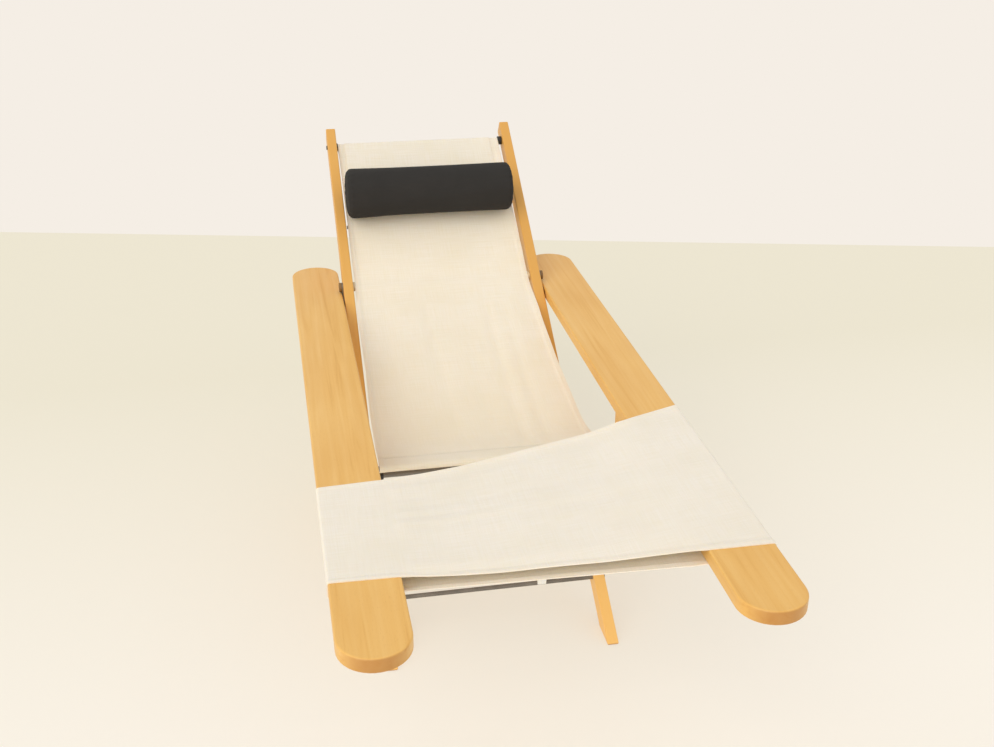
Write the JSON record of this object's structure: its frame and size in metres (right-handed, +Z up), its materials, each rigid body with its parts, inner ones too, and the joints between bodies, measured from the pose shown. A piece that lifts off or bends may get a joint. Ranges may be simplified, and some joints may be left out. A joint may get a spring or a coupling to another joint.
{
  "type": "folding deck chaise",
  "caption": "Low folding deck chaise: sloping canvas seat on crossed timber posts and legs, long plank arms, canvas leg-rest band and a sliding head bolster.",
  "frame": {"origin": "Centre of the bounding box on the floor", "axes": "+X across to the right arm as seen from the foot end, +Y toward the head end, +Z up"},
  "size_m": [0.7636, 1.9324, 0.8513],
  "materials": {
    "timber": "oiled hardwood, satin",
    "dark_steel": "dark grey coated steel bar",
    "black_plastic": "moulded black nylon",
    "fastener_steel": "dark passivated steel",
    "cream_canvas": "plain woven cotton canvas",
    "white_tape": "woven tape",
    "charcoal_fabric": "charcoal woven fabric"
  },
  "bodies": {
    "back_frame": {"left_post": "timber", "right_post": "timber", "top_rod": "dark_steel", "top_rod_spacers": "black_plastic", "top_rod_screws": "fastener_steel", "rear_rod": "dark_steel", "rear_rod_spacers": "black_plastic", "rear_rod_caps": "black_plastic", "front_stretcher": "dark_steel", "stretcher_screws": "fastener_steel", "pivot_bolts": "fastener_steel", "pivot_washers": "fastener_steel", "pivot_nuts": "fastener_steel", "sling": "cream_canvas"},
    "leg_frame": {"left_leg": "timber", "right_leg": "timber", "crossbar": "dark_steel", "crossbar_collars": "black_plastic", "crossbar_caps": "black_plastic", "leg_stretcher": "dark_steel", "leg_stretcher_screws": "fastener_steel"},
    "arm_frame": {"left_arm": "timber", "right_arm": "timber", "left_hinge_plate": "dark_steel", "right_hinge_plate": "dark_steel", "hinge_screws": "fastener_steel", "left_arm_block": "timber", "right_arm_block": "timber", "block_screws": "fastener_steel", "seat_rod": "dark_steel"},
    "legrest": {"legrest_band": "cream_canvas", "band_tab": "white_tape"},
    "headrest": {"bolster": "charcoal_fabric", "bolster_flap": "cream_canvas"},
    "counterweight": {"flap_weight": "dark_steel"}
  },
  "joints": [
    {"name": "leg_fold", "type": "hinge", "parent": "back_frame", "child": "leg_frame", "pos_m": [0, 0.05896, 0.24155], "axis": [1, 0, 0], "range_deg": [0, 58]},
    {"name": "arm_fold", "type": "hinge", "parent": "back_frame", "child": "arm_frame", "pos_m": [0, 0.51974, 0.54642], "axis": [1, 0, 0], "range_deg": [0, 18.14], "deforming": ["sling"]},
    {"name": "legrest_slide", "type": "slide", "parent": "arm_frame", "child": "legrest", "axis": [0, -1, 0], "range_m": [-0.03, 0.11]},
    {"name": "bolster_slide", "type": "slide", "parent": "back_frame", "child": "headrest", "axis": [0, 0.834, 0.5518], "range_m": [-0.025, 0.09], "deforming": ["bolster_flap"]},
    {"name": "counterweight_slide", "type": "slide", "parent": "back_frame", "child": "counterweight", "axis": [0, 0, -1], "range_m": [-0.025, 0.09]}
  ],
  "couplings": [
    {"joint": "arm_fold", "follows": "leg_fold", "ratio": 0.311},
    {"joint": "counterweight_slide", "follows": "bolster_slide", "ratio": 1}
  ]
}
